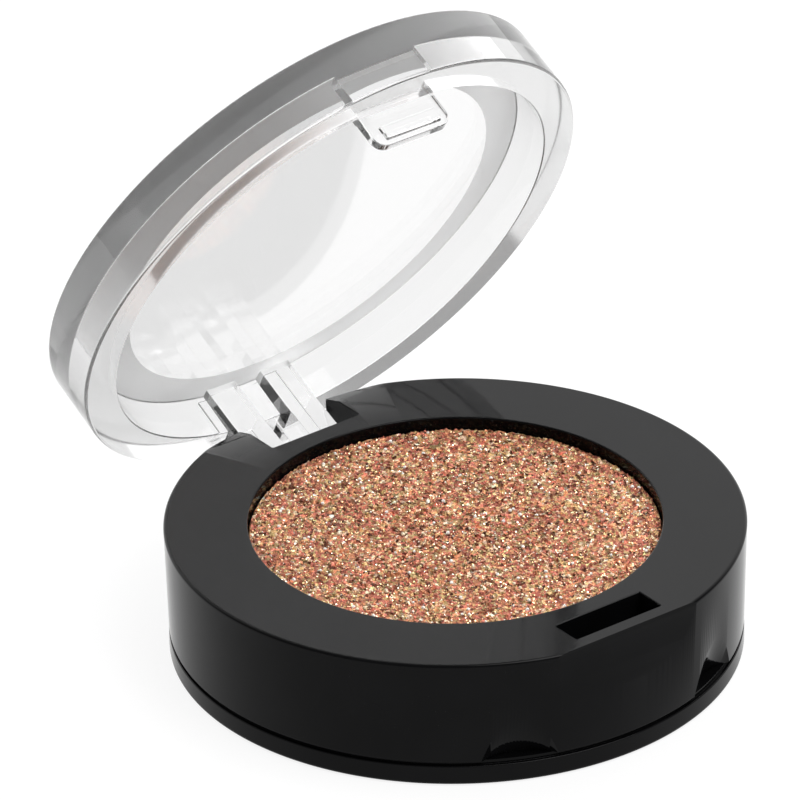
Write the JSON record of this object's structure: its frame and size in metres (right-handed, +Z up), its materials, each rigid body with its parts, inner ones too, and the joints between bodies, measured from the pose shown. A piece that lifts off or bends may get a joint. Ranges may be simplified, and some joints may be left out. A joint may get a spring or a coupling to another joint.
{
  "type": "eyeshadow compact",
  "caption": "Round single-shade eyeshadow compact with a glossy black base, a pressed shimmer powder cake and a clear hinged lid standing open.",
  "frame": {"origin": "centre of the underside, on the plane that the compact rests on", "axes": "+Z up, latch and finger scoop towards -Y, hinge towards +Y with its axis along X"},
  "size_m": [0.038, 0.0444, 0.0414],
  "materials": {
    "black_gloss": "polished black moulding",
    "black_satin": "black moulding, slightly duller",
    "pin_steel": "drawn wire with chamfered ends",
    "pan_metal": "pressed sheet",
    "glue": "dried adhesive",
    "shimmer_powder": "pressed powder with coarse copper, rose and gold shimmer",
    "label_film": "blank adhesive label",
    "clear_plastic": "polished clear moulding"
  },
  "bodies": {
    "base": {"base_body": "black_gloss", "bottom_cover": "black_satin", "hinge_pin": "pin_steel", "pan": "pan_metal", "pan_glue": "glue", "powder": "shimmer_powder", "base_label": "label_film"},
    "cover_lid": {"lid": "clear_plastic"}
  },
  "joints": [
    {"name": "lid_hinge", "type": "hinge", "parent": "base", "child": "cover_lid", "pos_m": [0, 0.01725, 0.0053], "axis": [-1, 0, 0], "range_deg": [-63.5, 36.5]}
  ]
}
